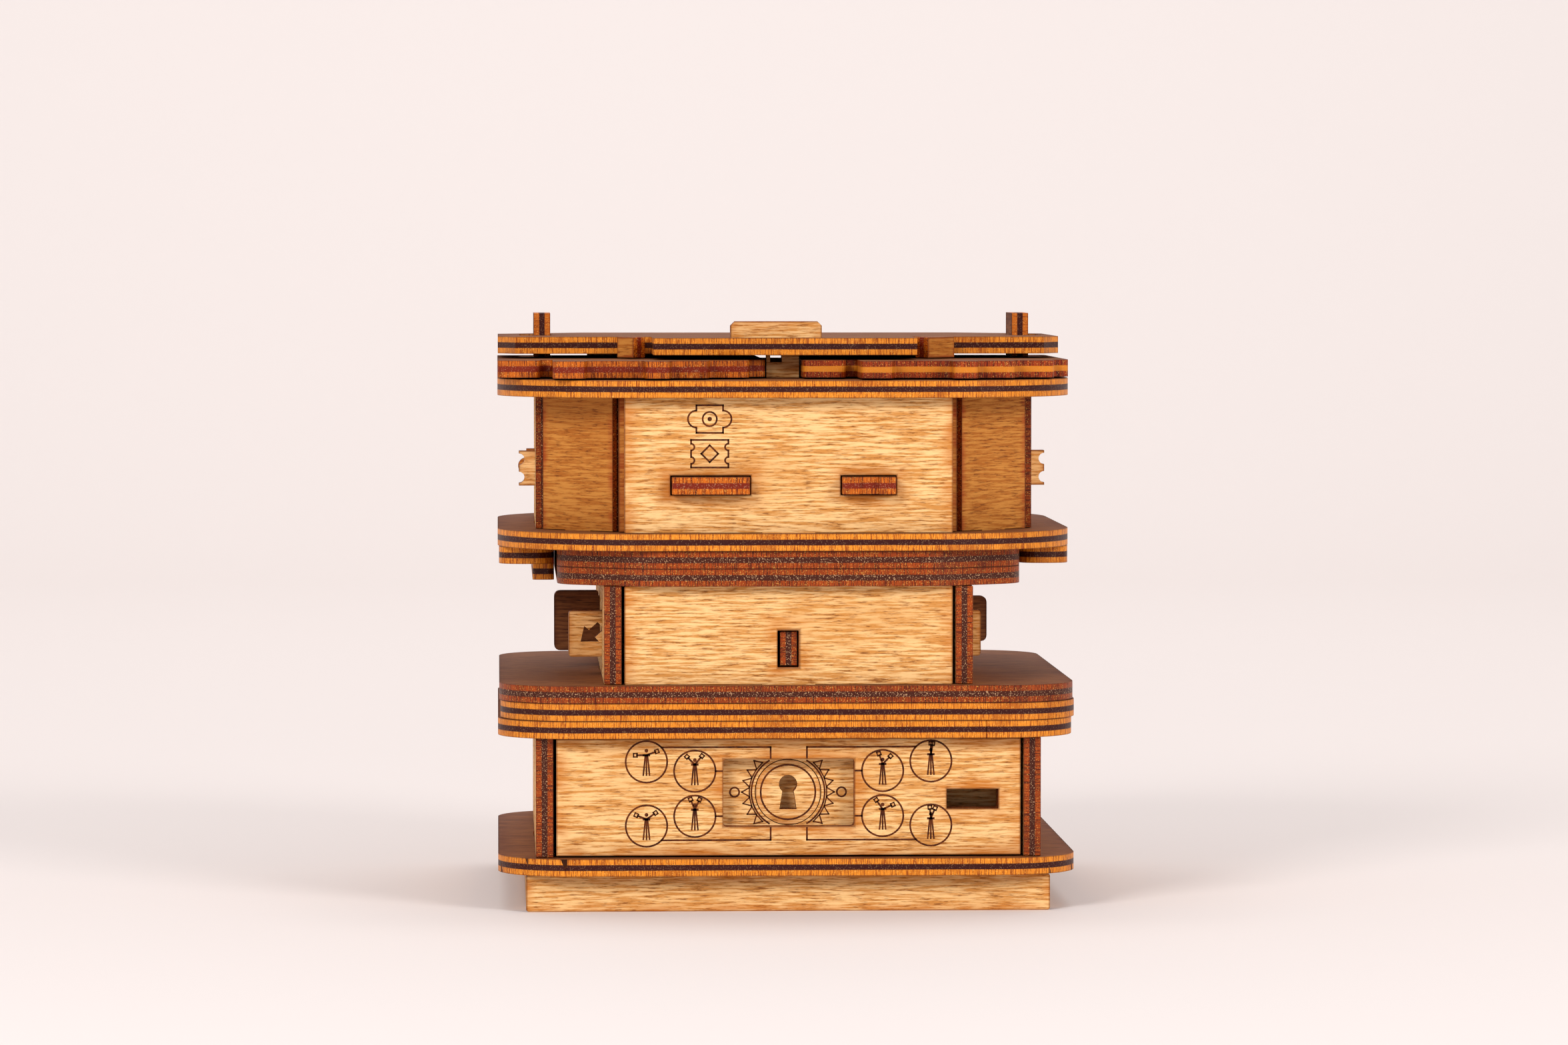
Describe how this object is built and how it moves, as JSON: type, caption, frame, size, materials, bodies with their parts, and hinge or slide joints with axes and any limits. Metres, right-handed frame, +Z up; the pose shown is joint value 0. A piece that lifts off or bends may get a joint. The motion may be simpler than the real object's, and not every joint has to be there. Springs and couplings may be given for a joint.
{
  "type": "wooden puzzle box",
  "caption": "Tiered desk puzzle box of laser-cut plywood, with a keyhole drawer, sliding bars and wavy sliding arms on top.",
  "frame": {"origin": "centre of the box's footprint on the surface that it stands on", "axes": "+Z up, -Y towards the keyhole front, +X to the right as seen from the front"},
  "size_m": [0.131, 0.131, 0.1344],
  "materials": {
    "pale_ply": "satin",
    "amber_ply": "satin",
    "plate_ply": "satin",
    "scorched_ply": "satin"
  },
  "bodies": {
    "box": {"plinth_front": "pale_ply", "plinth_back": "pale_ply", "plinth_left": "pale_ply", "plinth_right": "pale_ply", "lower_left_wall": "pale_ply", "lower_right_wall": "pale_ply", "lower_back_wall": "pale_ply", "middle_front": "pale_ply", "middle_back": "pale_ply", "middle_left_wall": "pale_ply", "middle_right_wall": "pale_ply", "middle_rib_left": "pale_ply", "middle_rib_right": "pale_ply", "tongue_guide": "pale_ply", "upper_front": "pale_ply", "upper_back": "pale_ply", "upper_left_wall": "pale_ply", "upper_right_wall": "pale_ply", "centre_upright": "pale_ply", "rear_spacer": "pale_ply", "facet_front_left": "amber_ply", "facet_front_right": "amber_ply", "facet_back_left": "amber_ply", "facet_back_right": "amber_ply", "left_post": "amber_ply", "right_post": "amber_ply", "bar_guide": "amber_ply", "base_plate": "plate_ply", "deck_sheet_bottom": "plate_ply", "deck_sheet_corner": "plate_ply", "deck_sheet_middle": "plate_ply", "deck_sheet_top": "plate_ply", "neck_sheet_lower": "plate_ply", "neck_sheet_upper": "plate_ply", "left_cleat": "plate_ply", "right_cleat": "plate_ply", "left_step": "plate_ply", "upper_floor": "plate_ply", "upper_ceiling": "plate_ply", "top_plate": "plate_ply"},
    "drawer": {"drawer_front": "pale_ply", "lock_panel": "pale_ply", "drawer_inner_wall": "pale_ply", "drawer_left_side": "pale_ply", "drawer_right_side": "pale_ply", "drawer_back": "pale_ply", "drawer_bottom": "plate_ply"},
    "lock": {"lock_disc": "pale_ply", "lock_cam": "pale_ply"},
    "front_slider": {"front_bar": "scorched_ply"},
    "notched_slider": {"notched_bar": "scorched_ply"},
    "front_cross_slider": {"front_cross_bar": "pale_ply"},
    "rear_cross_slider": {"rear_cross_bar": "amber_ply"},
    "arrow_slider": {"arrow_bar": "pale_ply"},
    "knob_slider": {"knob_bar": "amber_ply"},
    "tongue": {"centre_tongue": "scorched_ply"},
    "left_wave": {"left_arm": "scorched_ply", "left_peg": "scorched_ply"},
    "right_wave": {"right_arm": "scorched_ply", "right_peg": "scorched_ply"}
  },
  "joints": [
    {"name": "drawer_slide", "type": "slide", "parent": "box", "child": "drawer", "axis": [0, -1, 0], "range_m": [0, 0.06]},
    {"name": "lock_turn", "type": "hinge", "parent": "drawer", "child": "lock", "pos_m": [0, -0.0555, 0.0267], "axis": [0, -1, 0], "range_deg": [0, 90]},
    {"name": "front_bar_pull", "type": "slide", "parent": "box", "child": "front_slider", "axis": [0, -1, 0], "range_m": [0, 0.008]},
    {"name": "notched_bar_pull", "type": "slide", "parent": "box", "child": "notched_slider", "axis": [0, -1, 0], "range_m": [0, 0.008]},
    {"name": "front_cross_push", "type": "slide", "parent": "box", "child": "front_cross_slider", "axis": [1, 0, 0], "range_m": [-0.0035, 0.0035]},
    {"name": "rear_cross_push", "type": "slide", "parent": "box", "child": "rear_cross_slider", "axis": [1, 0, 0], "range_m": [-0.0035, 0.0035]},
    {"name": "arrow_bar_push", "type": "slide", "parent": "box", "child": "arrow_slider", "axis": [1, 0, 0], "range_m": [0, 0.007]},
    {"name": "knob_bar_pull", "type": "slide", "parent": "box", "child": "knob_slider", "axis": [-1, 0, 0], "range_m": [0, 0.006]},
    {"name": "tongue_push", "type": "slide", "parent": "box", "child": "tongue", "axis": [0, 1, 0], "range_m": [0, 0.006]},
    {"name": "left_wave_slide", "type": "slide", "parent": "box", "child": "left_wave", "axis": [-1, 0, 0], "range_m": [0, 0.003]},
    {"name": "right_wave_slide", "type": "slide", "parent": "box", "child": "right_wave", "axis": [1, 0, 0], "range_m": [0, 0.003]}
  ]
}
